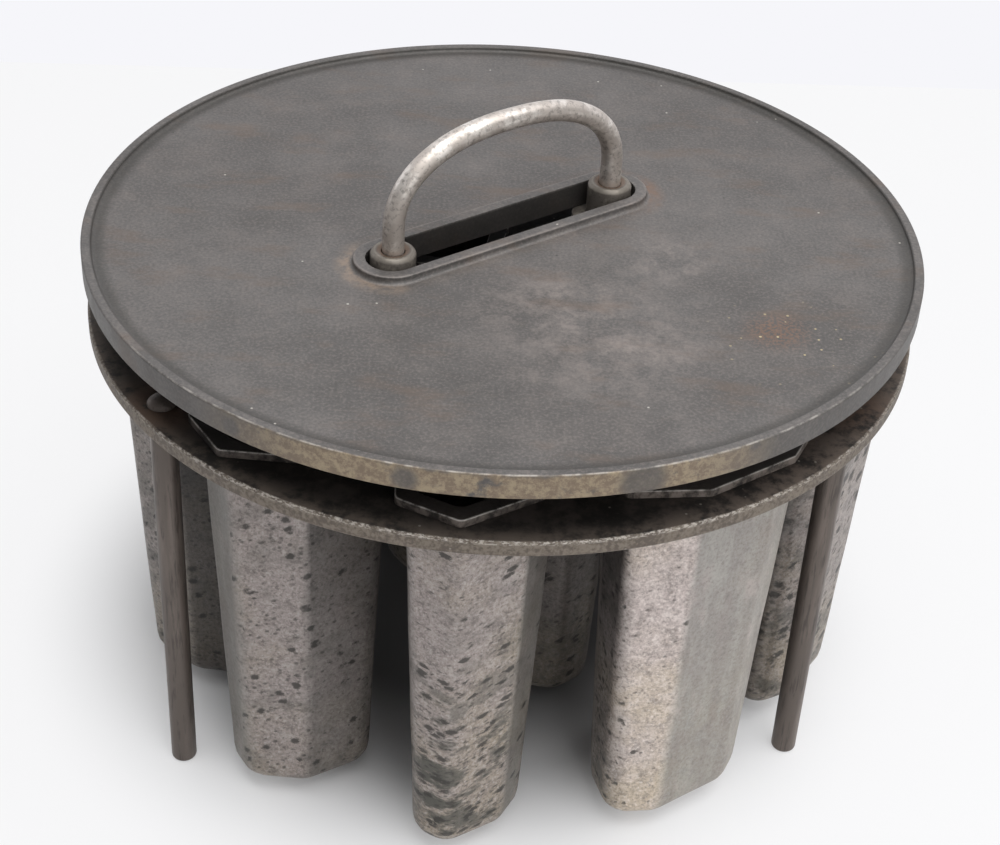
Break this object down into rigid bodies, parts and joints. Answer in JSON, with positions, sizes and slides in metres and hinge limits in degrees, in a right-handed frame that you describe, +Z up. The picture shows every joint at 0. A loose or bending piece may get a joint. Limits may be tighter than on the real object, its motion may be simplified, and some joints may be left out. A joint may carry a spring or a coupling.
{
  "type": "ice cream mould",
  "caption": "Round standing ice cream mould: tapered many-sided cups hang in a plate on rod legs under a lift-off lid, with a bail handle through the lid's slot.",
  "frame": {"origin": "centre of the circle that the legs stand on, on the table, under the plate's axis", "axes": "+Z up along the plate's axis, -Y towards the front, +X to the right of someone who looks at the front"},
  "size_m": [0.3048, 0.3048, 0.2385],
  "materials": {
    "lid_metal": "dark, satin, with faint rust",
    "plate_metal": "brown, worn, with a scratched bright edge",
    "cup_metal": "tinned, worn and speckled with corrosion",
    "handle_metal": "satin, polished by handling",
    "leg_metal": "dark brown, dull",
    "post_metal": "dull grey with a lighter lip",
    "fastener_metal": "dull brown grey"
  },
  "bodies": {
    "mould_base": {"base_plate": "plate_metal", "outer_cup_01": "cup_metal", "outer_cup_02": "cup_metal", "outer_cup_03": "cup_metal", "outer_cup_04": "cup_metal", "outer_cup_05": "cup_metal", "outer_cup_06": "cup_metal", "outer_cup_07": "cup_metal", "outer_cup_08": "cup_metal", "outer_cup_09": "cup_metal", "outer_cup_10": "cup_metal", "inner_cup_01": "cup_metal", "inner_cup_02": "cup_metal", "leg_1": "leg_metal", "leg_2": "leg_metal", "leg_3": "leg_metal", "leg_4": "leg_metal", "bail_handle": "handle_metal", "front_handle_post": "post_metal", "front_handle_washer": "fastener_metal", "front_handle_nut": "fastener_metal", "rear_handle_post": "post_metal", "rear_handle_washer": "fastener_metal", "rear_handle_nut": "fastener_metal"},
    "lid": {"lid": "lid_metal"}
  },
  "joints": [
    {"name": "lid_lift", "type": "slide", "parent": "mould_base", "child": "lid", "axis": [0, 0, 1], "range_m": [0, 0.08]}
  ]
}
